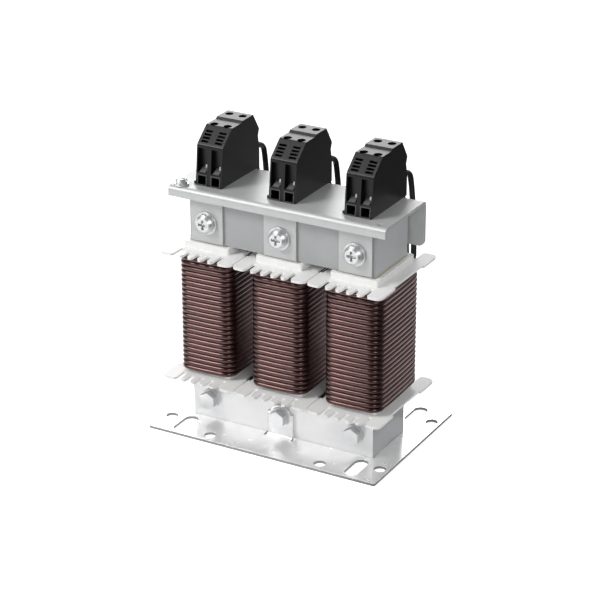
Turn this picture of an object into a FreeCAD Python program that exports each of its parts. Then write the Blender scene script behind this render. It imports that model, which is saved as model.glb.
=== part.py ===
import FreeCAD, Part
import math
import os
import Sketcher

# Three-phase line reactor: a laminated three-leg core between a base plate and a terminal bracket,
# a wound bobbin on each leg, and a two-pole terminal block above each leg.
# The origin is the centre of the base plate's underside. +X runs along the row of coils,
# -Y is the front, where the wires enter, and +Z is up. Lengths are in millimetres.

doc = FreeCAD.newDocument("line_reactor")
sheet = doc.addObject("Spreadsheet::Sheet", "Sizes")

SIZES = {
    # base plate, with its mounting holes and the two tabs bent up from it
    "plate_width": 125.0,
    "plate_depth": 85.0,
    "plate_sheet": 1.5,
    "plate_corner": 1.0,
    "long_hole_end_set": 15.0,
    "long_hole_side_set": 10.5,
    "long_hole_bore": 7.0,
    "long_hole_length": 17.0,
    "outer_hole_end_set": 4.5,
    "outer_hole_side_set": 14.5,
    "outer_hole_bore": 6.0,
    "inner_hole_end_set": 32.0,
    "inner_hole_side_set": 5.5,
    "inner_hole_bore": 6.0,
    "tab_width": 14.0,
    "tab_shoulder": 2.0,
    "tab_head": 6.0,
    "tab_bend": 1.0,
    "relief_width": 1.3,
    "relief_length": 2.2,
    # laminated core
    "leg_pitch": 40.0,
    "leg_width": 20.0,
    "leg_height": 69.5,
    "yoke_height": 21.0,
    "stack_depth": 33.0,
    "core_back_set": -3.5,
    "gap_thickness": 3.0,
    # bobbins
    "bobbin_clearance": 0.5,
    "bobbin_wall": 2.0,
    "bobbin_end_gap": 0.2,
    "flange_width": 39.2,
    "flange_depth": 60.0,
    "flange_thickness": 1.2,
    "flange_corner": 3.0,
    "flange_recess": 1.3,
    "flange_recess_length": 29.6,
    "lower_collar": 1.9,
    "upper_collar": 3.3,
    "comb_pitch": 5.5,
    "comb_slot": 2.2,
    "comb_depth": 6.0,
    "comb_end_depth": 8.5,
    "comb_tip_narrowing": 0.9,
    "comb_tip_length": 1.5,
    "comb_floor_corner": 0.5,
    "lead_notch_margin": 0.4,
    "lead_notch_depth": 7.0,
    # windings
    "wire_bore": 2.5,
    "winding_clearance": 0.5,
    "winding_foot_gap": 0.3,
    "winding_head_gap": 1.1,
    "winding_corner": 1.7,
    "groove_depth": 0.8,
    # leads from the windings to the terminals
    "lead_bore": 2.8,
    "lead_first": 5.3,
    "lead_second": 8.6,
    "lead_stand_off": 4.1,
    "stub_length": 2.5,
    "lead_crest": 25.8,
    "lead_fall": 9.5,
    "lead_lean": 0.35,
    "lead_settle": 30.0,
    # terminal bracket
    "bracket_width": 116.0,
    "bracket_front": 26.5,
    "bracket_clearance": 4.3,
    "bracket_sheet": 1.5,
    "bracket_bend": 1.0,
    "bracket_lip": 5.0,
    "bracket_flange_edge": 5.5,
    "bracket_corner": 3.0,
    "bracket_hole_end_set": 5.0,
    "bracket_hole_front_set": 4.2,
    "small_hole_bore": 3.0,
    # straps over the top yoke
    "strap_width": 17.5,
    "strap_sheet": 1.2,
    "strap_foot_gap": 0.3,
    # clamp bolts
    "bolt_bore": 5.0,
    "bolt_hole_bore": 5.5,
    "bolt_spare": 1.5,
    "washer_width": 11.5,
    "washer_sheet": 1.0,
    "rear_washer_width": 10.0,
    "pan_head_width": 9.5,
    "pan_head_height": 3.0,
    "recess_width": 1.3,
    "recess_span": 5.0,
    "recess_depth": 1.6,
    "hex_width": 8.0,
    "hex_head_height": 3.5,
    "nut_height": 4.0,
    # earth screw
    "earth_bore": 3.0,
    "earth_hole_bore": 3.4,
    "earth_head_width": 5.8,
    "earth_head_height": 2.2,
    "earth_washer_width": 7.4,
    "earth_reach": 2.5,
    # terminal blocks
    "block_width": 14.2,
    "block_front": 19.0,
    "block_back": 17.0,
    "block_height": 28.2,
    "block_step": 0.9,
    "front_lean": 1.8,
    "front_height": 19.2,
    "slope_foot_set": 2.3,
    "slope_foot_height": 20.3,
    "slope_head_set": 9.8,
    "slope_head_height": 26.6,
    "front_top_set": 10.7,
    "step_foot_set": 16.6,
    "step_head_set": 15.6,
    "waist_set": 1.2,
    "waist_height": 16.3,
    "rear_bump_height": 19.6,
    "rear_top_set": 5.6,
    "pole_pitch": 7.4,
    "entry_width": 4.3,
    "entry_sill": 0.7,
    "entry_depth": 15.4,
    "channel_sill": 5.9,
    "channel_height": 12.4,
    "channel_width": 5.4,
    "channel_depth": 4.2,
    "channel_rise": 2.4,
    "screw_hole_bore": 4.0,
    "front_screw_set": 6.7,
    "rear_screw_set": 7.3,
    "marker_width": 3.9,
    "marker_depth": 0.7,
    "marker_start": 0.2,
    "marker_step": 0.195,
    "marker_share": 0.12,
    "foot_width": 6.0,
    "foot_length": 4.0,
    "foot_front": 12.0,
    "foot_rear": 8.0,
    "foot_drop": 3.2,
    "foot_hook": 0.8,
    "foot_clearance": 0.2,
    "lug_width": 1.5,
    "lug_length": 2.0,
    "lug_height": 1.3,
    # metal parts in the terminal blocks
    "cage_width": 5.2,
    "cage_length": 6.0,
    "cage_wall": 0.4,
    "cage_head": 2.6,
    "cage_clearance": 0.1,
    "bar_width": 4.0,
    "bar_sheet": 1.0,
    "lead_hole_height": 10.5,
    "lead_hole_clearance": 0.2,
    "clamp_screw_bore": 2.5,
    "clamp_screw_head": 3.4,
    "clamp_screw_slot": 0.6,
}
TURNS = 25
COMB_SLOTS = 5
MARKER_ROWS = 4
SIDES = {"left": -1, "middle": 0, "right": 1}


class Size:
    """A length with its number and the sheet expression that gives it."""

    def __init__(self, number, text):
        self.number = number
        self.text = text

    def __add__(self, other):
        return Size(self.number + number(other), f"({self.text} + {text(other)})")

    def __sub__(self, other):
        return Size(self.number - number(other), f"({self.text} - {text(other)})")

    def __mul__(self, other):
        return Size(self.number * number(other), f"({self.text} * {text(other)})")

    def __truediv__(self, other):
        return Size(self.number / number(other), f"({self.text} / {text(other)})")

    def __neg__(self):
        return Size(-self.number, f"(0 - {self.text})")


def number(item):
    return item.number if isinstance(item, Size) else float(item)


def text(item):
    return item.text if isinstance(item, Size) else f"({float(item):.6f})"


def fill_sheet():
    sizes = {}
    for row, (name, value) in enumerate(SIZES.items(), start=1):
        sheet.set(f"A{row}", name)
        sheet.set(f"B{row}", str(value))
        sheet.setAlias(f"B{row}", name)
        sizes[name] = Size(value, f"Sizes.{name}")
    doc.recompute()
    return sizes


S = fill_sheet()
ZERO = S["plate_width"] * 0

# levels and places that several pieces share
CORE_BOTTOM = S["plate_sheet"]
LOWER_YOKE_TOP = CORE_BOTTOM + S["yoke_height"]
LEG_TOP = LOWER_YOKE_TOP + S["leg_height"]
TOP_YOKE_BOTTOM = LEG_TOP + S["gap_thickness"]
CORE_TOP = TOP_YOKE_BOTTOM + S["yoke_height"]
CORE_WIDTH = S["leg_pitch"] * 2 + S["leg_width"]
CORE_FRONT = S["core_back_set"] - S["stack_depth"] / 2
CORE_BACK = S["core_back_set"] + S["stack_depth"] / 2
LOWER_BOLT_Z = CORE_BOTTOM + S["yoke_height"] / 2
UPPER_BOLT_Z = TOP_YOKE_BOTTOM + S["yoke_height"] / 2

BOBBIN_BOTTOM = LOWER_YOKE_TOP + S["bobbin_end_gap"]
BOBBIN_TOP = TOP_YOKE_BOTTOM - S["bobbin_end_gap"]
LOWER_FLANGE_TOP = BOBBIN_BOTTOM + S["lower_collar"] + S["flange_thickness"]
UPPER_FLANGE_BOTTOM = BOBBIN_TOP - S["upper_collar"] - S["flange_thickness"]
TUBE_INNER_X = S["leg_width"] / 2 + S["bobbin_clearance"]
TUBE_INNER_Y = S["stack_depth"] / 2 + S["bobbin_clearance"]
TUBE_OUTER_X = TUBE_INNER_X + S["bobbin_wall"]
TUBE_OUTER_Y = TUBE_INNER_Y + S["bobbin_wall"]
WINDING_INNER_X = TUBE_OUTER_X + S["winding_clearance"]
WINDING_INNER_Y = TUBE_OUTER_Y + S["winding_clearance"]
WINDING_OUTER_Y = WINDING_INNER_Y + S["wire_bore"]
WINDING_BOTTOM = LOWER_FLANGE_TOP + S["winding_foot_gap"]
WINDING_TOP = UPPER_FLANGE_BOTTOM - S["winding_head_gap"]
TURN_PITCH = (WINDING_TOP - WINDING_BOTTOM) / TURNS
LEAD_Y = WINDING_OUTER_Y + S["lead_stand_off"]

STRAP_FRONT = CORE_FRONT - S["strap_sheet"]
STRAP_BACK = CORE_BACK + S["strap_sheet"]
BRACKET_BACK = STRAP_BACK + S["bracket_sheet"]
BRACKET_UNDERSIDE = CORE_TOP + S["strap_sheet"] + S["bracket_clearance"]
BRACKET_TOP = BRACKET_UNDERSIDE + S["bracket_sheet"]

BLOCK_BASE = BRACKET_TOP
ENTRY_FLOOR = BLOCK_BASE + S["entry_sill"]
ENTRY_CEILING = ENTRY_FLOOR + S["entry_width"]
FRONT_CAGE_TOP = ENTRY_CEILING + S["cage_head"]
BAR_TOP = FRONT_CAGE_TOP + S["bar_sheet"]
LEAD_HOLE_Z = BLOCK_BASE + S["lead_hole_height"]
REAR_CAGE_TOP = LEAD_HOLE_Z + S["lead_bore"] / 2 + S["cage_head"]


# document helpers


def bind(item, path, size):
    item.setExpression(path, text(size))


def new_body(label):
    body = doc.addObject("PartDesign::Body", label)
    body.Label = label
    return body


def origin_plane(body, role):
    return next(feature for feature in body.Origin.OriginFeatures if feature.Role == role)


def new_sketch(body, name, role, offset=None):
    """An empty sketch on one of the body's origin planes, or moved along that plane's normal."""
    sketch = body.newObject("Sketcher::SketchObject", name)
    sketch.AttachmentSupport = [(origin_plane(body, role), "")]
    sketch.MapMode = "FlatFace"
    if offset is not None:
        bind(sketch, "AttachmentOffset.Base.z", offset)
    return sketch


def vector(x, y):
    return FreeCAD.Vector(number(x), number(y), 0)


def pin_down(sketch, places):
    """Places points of the sketch by two distances from its origin, each taken from the sheet."""
    constraints = []
    expressions = []
    for kind, geometry, point, size in places:
        constraints.append(Sketcher.Constraint(kind, -1, 1, geometry, point, number(size)))
        expressions.append(size)
    first = sketch.ConstraintCount
    sketch.addConstraint(constraints)
    for shift, size in enumerate(expressions):
        bind(sketch, f"Constraints[{first + shift}]", size)


def outline(sketch, path):
    """Draws a closed outline. Each step is a corner (x, y), reached by a straight line, or
    (x, y, centre_x, centre_y, turn), reached by an arc: turn is 1 anticlockwise, -1 clockwise."""
    ends = []
    places = []
    for index, step in enumerate(path):
        before = path[index - 1]
        start = vector(before[0], before[1])
        end = vector(step[0], step[1])
        if len(step) == 2:
            geometry = sketch.addGeometry(Part.LineSegment(start, end), False)
            ends.append((geometry, 1, 2))
        else:
            centre = vector(step[2], step[3])
            first, last = (start, end) if step[4] > 0 else (end, start)
            angles = [math.atan2(p.y - centre.y, p.x - centre.x) for p in (first, last)]
            if angles[1] < angles[0]:
                angles[1] += 2 * math.pi
            circle = Part.Circle(centre, FreeCAD.Vector(0, 0, 1), (start - centre).Length)
            geometry = sketch.addGeometry(Part.ArcOfCircle(circle, angles[0], angles[1]), False)
            ends.append((geometry, 1, 2) if step[4] > 0 else (geometry, 2, 1))
            flat = abs(end.x - start.x) > abs(end.y - start.y)
            kind, centre_at = ("DistanceY", step[3]) if flat else ("DistanceX", step[2])
            places.append((kind, geometry, 3, centre_at))
        places.append(("DistanceX", geometry, ends[-1][2], step[0]))
        places.append(("DistanceY", geometry, ends[-1][2], step[1]))
    joints = []
    for index, (geometry, first, last) in enumerate(ends):
        earlier = ends[index - 1]
        joints.append(Sketcher.Constraint("Coincident", earlier[0], earlier[2], geometry, first))
    sketch.addConstraint(joints)
    pin_down(sketch, places)


def rectangle(sketch, low_x, low_y, high_x, high_y):
    outline(sketch, [(low_x, low_y), (high_x, low_y), (high_x, high_y), (low_x, high_y)])


def rounded_rectangle(sketch, low_x, low_y, high_x, high_y, corner):
    outline(
        sketch,
        [
            (low_x, low_y + corner),
            (low_x + corner, low_y, low_x + corner, low_y + corner, 1),
            (high_x - corner, low_y),
            (high_x, low_y + corner, high_x - corner, low_y + corner, 1),
            (high_x, high_y - corner),
            (high_x - corner, high_y, high_x - corner, high_y - corner, 1),
            (low_x + corner, high_y),
            (low_x, high_y - corner, low_x + corner, high_y - corner, 1),
        ],
    )


def long_hole(sketch, x, y, bore, length):
    """A slot with round ends that runs along the sketch's second axis."""
    radius = bore / 2
    reach = length / 2 - radius
    outline(
        sketch,
        [
            (x - radius, y - reach),
            (x + radius, y - reach, x, y - reach, 1),
            (x + radius, y + reach),
            (x - radius, y + reach, x, y + reach, 1),
        ],
    )


def round_hole(sketch, x, y, bore):
    circle = Part.Circle(vector(x, y), FreeCAD.Vector(0, 0, 1), number(bore) / 2)
    geometry = sketch.addGeometry(circle, False)
    pin_down(sketch, [("DistanceX", geometry, 3, x), ("DistanceY", geometry, 3, y)])
    row = sketch.ConstraintCount
    sketch.addConstraint(Sketcher.Constraint("Diameter", geometry, number(bore)))
    bind(sketch, f"Constraints[{row}]", bore)


def pad(body, sketch, name, length, both_ways=False, backwards=False):
    feature = body.newObject("PartDesign::Pad", name)
    feature.Profile = sketch
    bind(feature, "Length", length)
    feature.Midplane = both_ways
    feature.Reversed = backwards
    return feature


def pocket(body, sketch, name, length, both_ways=False, backwards=False):
    feature = body.newObject("PartDesign::Pocket", name)
    feature.Profile = sketch
    bind(feature, "Length", length)
    feature.Midplane = both_ways
    feature.Reversed = backwards
    return feature


def place(item, x=ZERO, y=ZERO, z=ZERO):
    for axis, size in (("x", x), ("y", y), ("z", z)):
        bind(item, f"Placement.Base.{axis}", size)


def leg_x(side):
    return S["leg_pitch"] * side


# fasteners are turned or hexagonal solids that stand along Y or Z


ALONG_Y = FreeCAD.Rotation(FreeCAD.Vector(1, 0, 0), -90)
ALONG_Z = FreeCAD.Rotation()


def rod(name, bore, length, x, y, z, turn=ALONG_Y):
    item = doc.addObject("Part::Cylinder", name)
    item.Placement = FreeCAD.Placement(FreeCAD.Vector(), turn)
    bind(item, "Radius", bore / 2)
    bind(item, "Height", length)
    place(item, x, y, z)
    return item


def cone(name, near_bore, far_bore, length, x, y, z, turn=ALONG_Y):
    item = doc.addObject("Part::Cone", name)
    item.Placement = FreeCAD.Placement(FreeCAD.Vector(), turn)
    bind(item, "Radius1", near_bore / 2)
    bind(item, "Radius2", far_bore / 2)
    bind(item, "Height", length)
    place(item, x, y, z)
    return item


def hexagon(name, across_flats, length, x, y, z, turn=ALONG_Y):
    item = doc.addObject("Part::Prism", name)
    item.Polygon = 6
    item.Placement = FreeCAD.Placement(FreeCAD.Vector(), turn * FreeCAD.Rotation(FreeCAD.Vector(0, 0, 1), 30))
    bind(item, "Circumradius", across_flats / math.sqrt(3))
    bind(item, "Height", length)
    place(item, x, y, z)
    return item


def block(name, low, high):
    item = doc.addObject("Part::Box", name)
    for side, near, far in zip(("Length", "Width", "Height"), low, high):
        bind(item, side, far - near)
    place(item, *low)
    return item


def fuse(name, pieces):
    item = doc.addObject("Part::MultiFuse", name)
    item.Shapes = pieces
    return item


def cut(name, base, tool):
    item = doc.addObject("Part::Cut", name)
    item.Base = base
    item.Tool = tool
    return item


def group(label, pieces):
    item = doc.addObject("Part::Compound", label)
    item.Label = label
    item.Links = pieces
    return item


def washer(name, width, hole, thickness, x, y, z, turn=ALONG_Y):
    disc = rod(name + "_disc", width, thickness, x, y, z, turn)
    return cut(name, disc, rod(name + "_hole", hole, thickness, x, y, z, turn))


def nut(name, across_flats, hole, height, x, y, z, turn=ALONG_Y):
    blank = hexagon(name + "_blank", across_flats, height, x, y, z, turn)
    return cut(name, blank, rod(name + "_thread", hole, height, x, y, z, turn))


# base plate: one zinc-plated sheet, with two tabs bent up through a window to hold the lower yoke


def make_base_plate():
    body = new_body("base_plate")
    sheet_outline = new_sketch(body, "plate_outline", "XY_Plane")
    half_x = S["plate_width"] / 2
    half_y = S["plate_depth"] / 2
    rounded_rectangle(sheet_outline, -half_x, -half_y, half_x, half_y, S["plate_corner"])
    bend_reach = S["tab_bend"] + S["plate_sheet"]
    for side_x in (-1, 1):
        for side_y in (-1, 1):
            x = (half_x - S["long_hole_end_set"]) * side_x
            y = (half_y - S["long_hole_side_set"]) * side_y
            long_hole(sheet_outline, x, y, S["long_hole_bore"], S["long_hole_length"])
            x = (half_x - S["outer_hole_end_set"]) * side_x
            y = (half_y - S["outer_hole_side_set"]) * side_y
            round_hole(sheet_outline, x, y, S["outer_hole_bore"])
            x = (half_x - S["inner_hole_end_set"]) * side_x
            y = (half_y - S["inner_hole_side_set"]) * side_y
            round_hole(sheet_outline, x, y, S["inner_hole_bore"])
    tab_half = S["tab_width"] / 2
    relief_half = tab_half + S["relief_width"]
    front = CORE_FRONT - bend_reach
    back = CORE_BACK + bend_reach
    relief_front = CORE_FRONT - S["relief_length"] - S["plate_sheet"]
    relief_back = CORE_BACK + S["relief_length"] + S["plate_sheet"]
    outline(
        sheet_outline,
        [
            (-tab_half, front),
            (tab_half, front),
            (tab_half, relief_front),
            (relief_half, relief_front),
            (relief_half, relief_back),
            (tab_half, relief_back),
            (tab_half, back),
            (-tab_half, back),
            (-tab_half, relief_back),
            (-relief_half, relief_back),
            (-relief_half, relief_front),
            (-tab_half, relief_front),
        ],
    )
    pad(body, sheet_outline, "plate", S["plate_sheet"])

    for end, face, outward in (("front", CORE_FRONT, -1), ("back", CORE_BACK, 1)):
        near = face
        far = face + S["plate_sheet"] * outward
        root = face + bend_reach * outward
        bend_top = bend_reach
        bend = new_sketch(body, end + "_bend_section", "YZ_Plane")
        outline(
            bend,
            [
                (root, ZERO),
                (near, bend_top, root, bend_top, -outward),
                (near, bend_top + S["plate_sheet"]),
                (far, bend_top + S["plate_sheet"]),
                (far, bend_top),
                (root, S["plate_sheet"], root, bend_top, outward),
            ],
        )
        pad(body, bend, end + "_bend", S["tab_width"], both_ways=True)
        tab = new_sketch(body, end + "_tab_outline", "XZ_Plane", -near)
        shoulder = LOWER_BOLT_Z + S["tab_shoulder"]
        head = S["tab_head"]
        rectangle(tab, -tab_half, bend_top, tab_half, shoulder)
        pad(body, tab, end + "_tab", S["plate_sheet"], backwards=outward > 0)
        crown = new_sketch(body, end + "_crown_outline", "XZ_Plane", -near)
        round_hole(crown, ZERO, LOWER_BOLT_Z, head * 2)
        pad(body, crown, end + "_crown", S["plate_sheet"], backwards=outward > 0)
    hole = new_sketch(body, "tab_hole_outline", "XZ_Plane")
    round_hole(hole, ZERO, LOWER_BOLT_Z, S["bolt_hole_bore"])
    pocket(body, hole, "tab_holes", S["plate_depth"], both_ways=True)
    return body


# core: stacked laminations, an E of three legs below and a straight yoke above, with spacers between


def make_core_legs():
    body = new_body("core_legs")
    half = CORE_WIDTH / 2
    window = S["leg_pitch"] - S["leg_width"]
    near = S["leg_width"] / 2
    face = new_sketch(body, "lamination", "XZ_Plane", -CORE_FRONT)
    outline(
        face,
        [
            (-half, CORE_BOTTOM),
            (half, CORE_BOTTOM),
            (half, LEG_TOP),
            (near + window, LEG_TOP),
            (near + window, LOWER_YOKE_TOP),
            (near, LOWER_YOKE_TOP),
            (near, LEG_TOP),
            (-near, LEG_TOP),
            (-near, LOWER_YOKE_TOP),
            (-near - window, LOWER_YOKE_TOP),
            (-near - window, LEG_TOP),
            (-half, LEG_TOP),
        ],
    )
    for side in SIDES.values():
        round_hole(face, leg_x(side), LOWER_BOLT_Z, S["bolt_hole_bore"])
    pad(body, face, "stack", S["stack_depth"], backwards=True)
    return body


def make_top_yoke():
    body = new_body("top_yoke")
    half = CORE_WIDTH / 2
    face = new_sketch(body, "lamination", "XZ_Plane", -CORE_FRONT)
    rectangle(face, -half, TOP_YOKE_BOTTOM, half, CORE_TOP)
    for side in SIDES.values():
        round_hole(face, leg_x(side), UPPER_BOLT_Z, S["bolt_hole_bore"])
    pad(body, face, "stack", S["stack_depth"], backwards=True)
    return body


def make_gap_spacer(label, side):
    body = new_body(label)
    face = new_sketch(body, "spacer_outline", "XY_Plane", LEG_TOP)
    half_x = S["leg_width"] / 2
    half_y = S["stack_depth"] / 2
    rectangle(face, -half_x, -half_y, half_x, half_y)
    pad(body, face, "spacer", S["gap_thickness"])
    place(body, leg_x(side), S["core_back_set"])
    return body


# bobbins: a rectangular tube with a comb-edged flange at each end


def comb_slot(sketch, x, edge, depth, inward):
    """One comb slot in the edge at y = edge, whose mouth narrows the tips of its two fingers."""
    half = S["comb_slot"] / 2 * inward
    mouth = S["comb_tip_narrowing"] * inward
    lip = edge + S["comb_tip_length"] * inward
    floor = edge + depth * inward
    corner = S["comb_floor_corner"] * inward
    outline(
        sketch,
        [
            (x - half - mouth, edge - mouth),
            (x - half - mouth, edge),
            (x - half, lip),
            (x - half, floor - corner),
            (x - half + corner, floor),
            (x + half - corner, floor),
            (x + half, floor - corner),
            (x + half, lip),
            (x + half + mouth, edge),
            (x + half + mouth, edge - mouth),
        ],
    )


def make_bobbin(label, side):
    body = new_body(label)
    tube = new_sketch(body, "tube_outline", "XY_Plane", BOBBIN_BOTTOM)
    rounded_rectangle(tube, -TUBE_OUTER_X, -TUBE_OUTER_Y, TUBE_OUTER_X, TUBE_OUTER_Y, S["bobbin_wall"] / 2)
    pad(body, tube, "tube", BOBBIN_TOP - BOBBIN_BOTTOM)
    half_x = S["flange_width"] / 2
    half_y = S["flange_depth"] / 2
    corner = S["flange_corner"]
    for name, bottom in (("lower", LOWER_FLANGE_TOP - S["flange_thickness"]), ("upper", UPPER_FLANGE_BOTTOM)):
        flange = new_sketch(body, name + "_flange_outline", "XY_Plane", bottom)
        rounded_rectangle(flange, -half_x, -half_y, half_x, half_y, corner)
        pad(body, flange, name + "_flange", S["flange_thickness"])
    waist = new_sketch(body, "waist_outline", "XY_Plane")
    waist_x = half_x - S["flange_recess"]
    waist_y = S["flange_recess_length"] / 2
    rectangle(waist, waist_x, -waist_y, half_x + corner, waist_y)
    rectangle(waist, -half_x - corner, -waist_y, -waist_x, waist_y)
    pocket(body, waist, "waist", BOBBIN_TOP * 2, both_ways=True)
    bore = new_sketch(body, "leg_opening_outline", "XY_Plane")
    rectangle(bore, -TUBE_INNER_X, -TUBE_INNER_Y, TUBE_INNER_X, TUBE_INNER_Y)
    pocket(body, bore, "leg_opening", BOBBIN_TOP * 2, both_ways=True)

    # the comb slots go through both flanges, at the front and at the back
    pitch = S["comb_pitch"]
    inner = COMB_SLOTS // 2 - 1
    for name, slot_x, depth, count in (
        ("inner", pitch * inner, S["comb_depth"], inner * 2 + 1),
        ("end", pitch * (inner + 1), S["comb_end_depth"], 2),
    ):
        slots = new_sketch(body, name + "_slot_outline", "XY_Plane")
        for way in (1, -1):
            comb_slot(slots, -slot_x, half_y * -way, depth, way)
        first = pocket(body, slots, name + "_slot", BOBBIN_TOP * 2, both_ways=True)
        row = body.newObject("PartDesign::LinearPattern", name + "_slots")
        row.Originals = [first]
        row.Direction = (origin_plane(body, "X_Axis"), [""])
        bind(row, "Length", slot_x * 2)
        row.Occurrences = count
        body.Tip = row

    # the notch at the back of the upper flange lets the leads through
    notch = new_sketch(body, "lead_notch_outline", "XY_Plane", BOBBIN_TOP)
    margin = S["lead_bore"] / 2 + S["lead_notch_margin"]
    floor = half_y - S["lead_notch_depth"]
    rectangle(notch, S["lead_first"] - margin, floor, S["lead_second"] + margin, half_y + margin)
    pocket(body, notch, "lead_notch", S["upper_collar"] + S["flange_thickness"] * 2)
    place(body, leg_x(side), S["core_back_set"])
    return body


# windings: one layer of thick enamelled wire, each turn a rounded ridge, with its two wire ends at the back


def make_winding(label, side):
    body = new_body(label)
    spine = new_sketch(body, "turn_path", "XY_Plane")
    corner = S["winding_corner"]
    bevel = corner * (1 - math.tan(math.pi / 8))
    path = []
    for way_x, way_y, first_axis in ((1, 1, "y"), (-1, 1, "x"), (-1, -1, "y"), (1, -1, "x")):
        near_side = (WINDING_INNER_X * way_x, (WINDING_INNER_Y - bevel) * way_y)
        near_end = ((WINDING_INNER_X - bevel) * way_x, WINDING_INNER_Y * way_y)
        path += [near_side, near_end] if first_axis == "y" else [near_end, near_side]
    outline(spine, path)
    section = new_sketch(body, "turn_section", "XZ_Plane")
    crest = WINDING_INNER_X + S["wire_bore"]
    root = crest - S["groove_depth"]
    path = [(WINDING_INNER_X, WINDING_TOP), (WINDING_INNER_X, WINDING_BOTTOM)]
    for turn in range(TURNS):
        low = WINDING_BOTTOM + TURN_PITCH * turn
        path.append((root, low))
        path.append((crest, low + TURN_PITCH / 2))
    path.append((root, WINDING_TOP))
    outline(section, path)
    turns = body.newObject("PartDesign::AdditivePipe", "turns")
    turns.Profile = section
    turns.Spine = spine
    turns.Transition = "Right corner"
    half = S["wire_bore"] / 2
    reach = S["wire_bore"] * 0.5 + S["lead_stand_off"]
    ends = (
        ("first", S["lead_first"], WINDING_BOTTOM + half),
        ("second", S["lead_second"], WINDING_TOP - half),
    )
    for name, x, z in ends:
        outward = new_sketch(body, name + "_end_section", "XZ_Plane", half - WINDING_OUTER_Y)
        round_hole(outward, x, z, S["wire_bore"])
        pad(body, outward, name + "_end", reach, backwards=True)
        upward = new_sketch(body, name + "_riser_section", "XY_Plane", z - half)
        round_hole(upward, x, LEAD_Y, S["wire_bore"])
        pad(body, upward, name + "_riser", S["stub_length"] + half)
    place(body, leg_x(side), S["core_back_set"])
    return body


# leads: sleeved wires, held at the winding and in the terminal, so their route is fixed at both ends


def lead_route(first):
    """The corners of a lead's route, counted from its leg's axis, from the winding's wire end
    up through the flange notch, across to its pole and forward into the clamp cage."""
    low = S["lead_first"] if first else S["lead_second"]
    wire_z = WINDING_BOTTOM + S["wire_bore"] / 2 if first else WINDING_TOP - S["wire_bore"] / 2
    pole = S["pole_pitch"] / 2 * (-1 if first else 1)
    back = S["core_back_set"] + LEAD_Y
    crest = S["lead_crest"]
    across = pole + (low - pole) * S["lead_lean"]
    corners = [
        (low, back, wire_z + S["stub_length"]),
        (low, back, LEAD_HOLE_Z - S["lead_settle"]),
        (across, crest, LEAD_HOLE_Z - S["lead_fall"]),
        (pole, crest, LEAD_HOLE_Z),
        (pole, S["rear_screw_set"] + S["cage_length"] / 2, LEAD_HOLE_Z),
    ]
    return [tuple(number(part) for part in corner) for corner in corners]


def make_lead(label, side, first):
    corners = [FreeCAD.Vector(*point) for point in lead_route(first)]
    edges = []
    start = corners[0]
    for index in range(1, len(corners) - 1):
        corner = corners[index]
        before = corners[index - 1] - corner
        after = corners[index + 1] - corner
        half_turn = (math.pi - before.getAngle(after)) / 2
        setback = 0.45 * min(before.Length, after.Length)
        radius = setback / math.tan(half_turn)
        into = corner + before.normalize() * setback
        out_of = corner + after.normalize() * setback
        bisector = (before + after).normalize()
        middle = corner + bisector * (radius / math.cos(half_turn) - radius)
        edges.append(Part.LineSegment(start, into).toShape())
        edges.append(Part.Arc(into, middle, out_of).toShape())
        start = out_of
        print(label, "bend radius", round(radius, 1))
    edges.append(Part.LineSegment(start, corners[-1]).toShape())
    route = Part.Wire(edges)
    radius = number(S["lead_bore"]) / 2
    ring = Part.Circle(corners[0], corners[1] - corners[0], radius).toShape()
    shape = route.makePipeShell([Part.Wire([ring])], True, False)
    expected = math.pi * radius ** 2 * route.Length
    if abs(shape.Volume - expected) > 0.01 * expected:
        raise RuntimeError(f"{label}: volume {shape.Volume:.1f}, expected {expected:.1f}")
    item = doc.addObject("Part::Feature", label)
    item.Label = label
    item.Shape = shape
    place(item, leg_x(side))
    return item


# terminal bracket: one folded sheet, clamped behind the top yoke, that carries the terminal blocks


def block_feet():
    """The middle of each foot of a terminal block, along Y."""
    return (-S["foot_front"], S["foot_rear"])


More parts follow.
